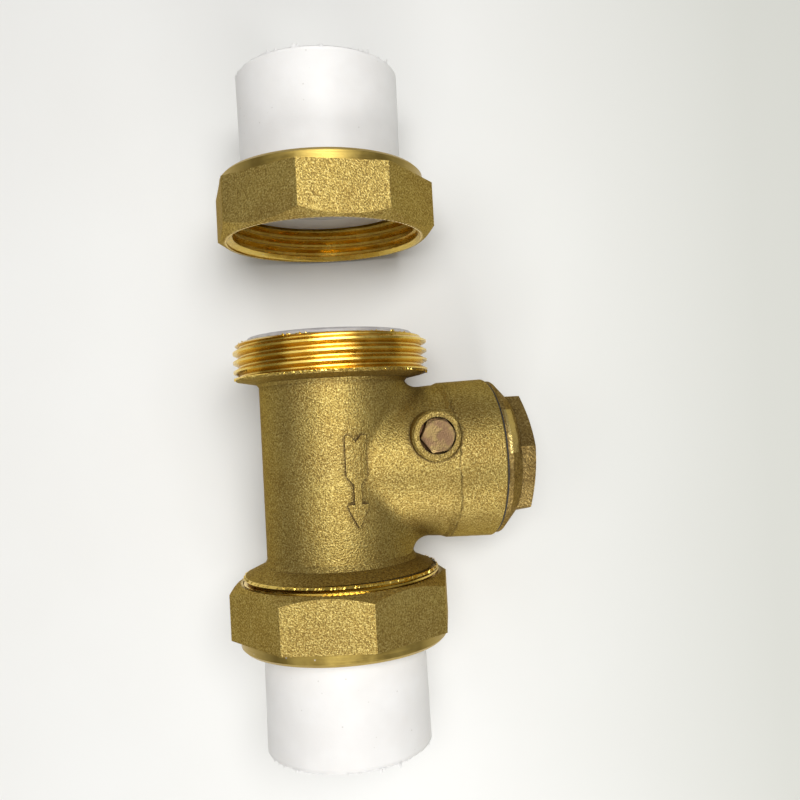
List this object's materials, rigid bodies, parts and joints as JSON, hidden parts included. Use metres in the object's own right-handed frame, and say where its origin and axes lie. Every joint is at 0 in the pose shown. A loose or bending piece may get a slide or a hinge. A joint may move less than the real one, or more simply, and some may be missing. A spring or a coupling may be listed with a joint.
{
  "type": "swing check valve",
  "caption": "Brass swing check valve with a hexagon bonnet plug and a union nut with a white plastic pipe socket at each end, the inlet union undone.",
  "frame": {"origin": "centre of the outlet pipe socket's mouth", "axes": "+Y along the pipe axis towards the inlet, against the flow; +X along the bonnet; +Z along the hinge pin towards its plug"},
  "size_m": [0.0743, 0.1637, 0.0546],
  "materials": {
    "cast_brass": "sand-cast, blasted",
    "machined_brass": "turned",
    "red_brass": "dull, reddish",
    "stainless_steel": "turned",
    "white_plastic": "satin",
    "silicone": "translucent, matte",
    "black_rubber": "matte"
  },
  "bodies": {
    "body": {"valve_body": "cast_brass", "hinge_pin": "stainless_steel", "union_gasket_inlet": "silicone", "union_gasket_outlet": "silicone"},
    "clapper_arm": {"hinge_arm": "machined_brass"},
    "disc": {"disc_holder": "machined_brass", "disc_seal": "black_rubber", "seal_washer": "stainless_steel", "seal_screw": "stainless_steel", "hanger_washer": "stainless_steel", "hanger_nut": "machined_brass", "split_pin": "stainless_steel"},
    "inlet_tailpiece": {"tailpiece_inlet": "white_plastic"},
    "inlet_nut": {"union_nut_inlet": "cast_brass"},
    "outlet_tailpiece": {"tailpiece_outlet": "white_plastic"},
    "outlet_nut": {"union_nut_outlet": "cast_brass"},
    "cap_gasket": {"bonnet_gasket": "black_rubber"},
    "cap": {"bonnet_cap": "cast_brass"},
    "plug_washer": {"pin_plug_washer": "red_brass"},
    "plug": {"pin_plug": "red_brass"}
  },
  "joints": [
    {"name": "clapper_swing", "type": "hinge", "parent": "body", "child": "clapper_arm", "pos_m": [0.0215, 0.0737, 0], "axis": [0, 0, 1], "range_deg": [0, 45]},
    {"name": "disc_spin", "type": "hinge", "parent": "clapper_arm", "child": "disc", "pos_m": [0, 0.0672, 0], "axis": [0, -1, 0], "continuous": true},
    {"name": "inlet_slide", "type": "slide", "parent": "body", "child": "inlet_tailpiece", "axis": [0, 1, 0], "range_m": [-0.0324, 0]},
    {"name": "inlet_nut_turn", "type": "hinge", "parent": "inlet_tailpiece", "child": "inlet_nut", "pos_m": [0, 0.0672, 0], "axis": [0, 1, 0], "range_deg": [-5040, 0]},
    {"name": "outlet_slide", "type": "slide", "parent": "body", "child": "outlet_tailpiece", "axis": [0, -1, 0], "range_m": [0, 0.0186]},
    {"name": "outlet_nut_turn", "type": "hinge", "parent": "outlet_tailpiece", "child": "outlet_nut", "pos_m": [0, 0.0672, 0], "axis": [0, -1, 0], "range_deg": [0, 2880]},
    {"name": "cap_slide", "type": "slide", "parent": "body", "child": "cap_gasket", "axis": [1, 0, 0], "range_m": [0, 0.0121]},
    {"name": "cap_turn", "type": "hinge", "parent": "cap_gasket", "child": "cap", "pos_m": [0, 0.0672, 0], "axis": [1, 0, 0], "range_deg": [0, 2880]},
    {"name": "plug_slide", "type": "slide", "parent": "body", "child": "plug_washer", "axis": [0, 0, 1], "range_m": [0, 0.005]},
    {"name": "plug_turn", "type": "hinge", "parent": "plug_washer", "child": "plug", "pos_m": [0.0215, 0.0737, 0], "axis": [0, 0, 1], "range_deg": [0, 1800]}
  ],
  "couplings": [
    {"joint": "inlet_slide", "follows": "inlet_nut_turn", "m_per_rad": 0.00036749},
    {"joint": "outlet_slide", "follows": "outlet_nut_turn", "m_per_rad": 0.00036749},
    {"joint": "cap_slide", "follows": "cap_turn", "m_per_rad": 0.00023873},
    {"joint": "plug_turn", "follows": "plug_slide", "rad_per_m": 6283.2}
  ]
}
